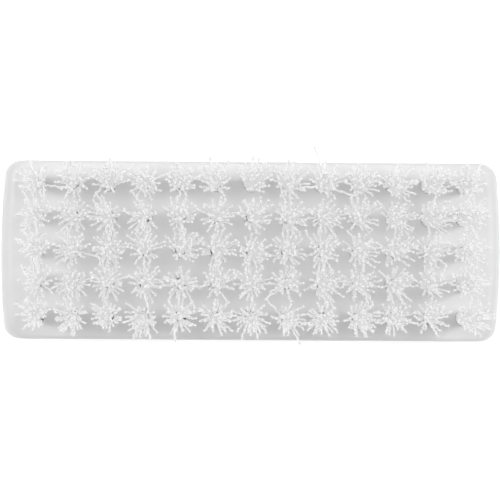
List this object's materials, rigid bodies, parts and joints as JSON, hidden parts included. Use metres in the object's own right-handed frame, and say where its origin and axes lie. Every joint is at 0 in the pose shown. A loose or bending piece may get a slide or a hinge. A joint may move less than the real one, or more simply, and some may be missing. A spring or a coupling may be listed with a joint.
{
  "type": "nail brush",
  "caption": "Nail brush: a moulded plastic block with bowed ends and finger grooves, set with a grid of tufts of crimped nylon bristle.",
  "frame": {"origin": "middle of the block's flat back, which the brush lies on with its bristles up", "axes": "+X along the brush, +Y across it, +Z from the back to the bristle tips"},
  "size_m": [0.106, 0.038, 0.03],
  "materials": {
    "block_plastic": "satin moulded white plastic",
    "bristle_nylon": "translucent white crimped nylon filament",
    "anchor_wire": "flat drawn wire anchor at the bottom of each tuft hole"
  },
  "bodies": {
    "root": {"block": "block_plastic", "tuft_column_01": "bristle_nylon", "tuft_column_02": "bristle_nylon", "tuft_column_03": "bristle_nylon", "tuft_column_04": "bristle_nylon", "tuft_column_05": "bristle_nylon", "tuft_column_06": "bristle_nylon", "tuft_column_07": "bristle_nylon", "tuft_column_08": "bristle_nylon", "tuft_column_09": "bristle_nylon", "tuft_column_10": "bristle_nylon", "tuft_column_11": "bristle_nylon", "tuft_column_12": "bristle_nylon", "tuft_column_13": "bristle_nylon"}
  },
  "joints": []
}
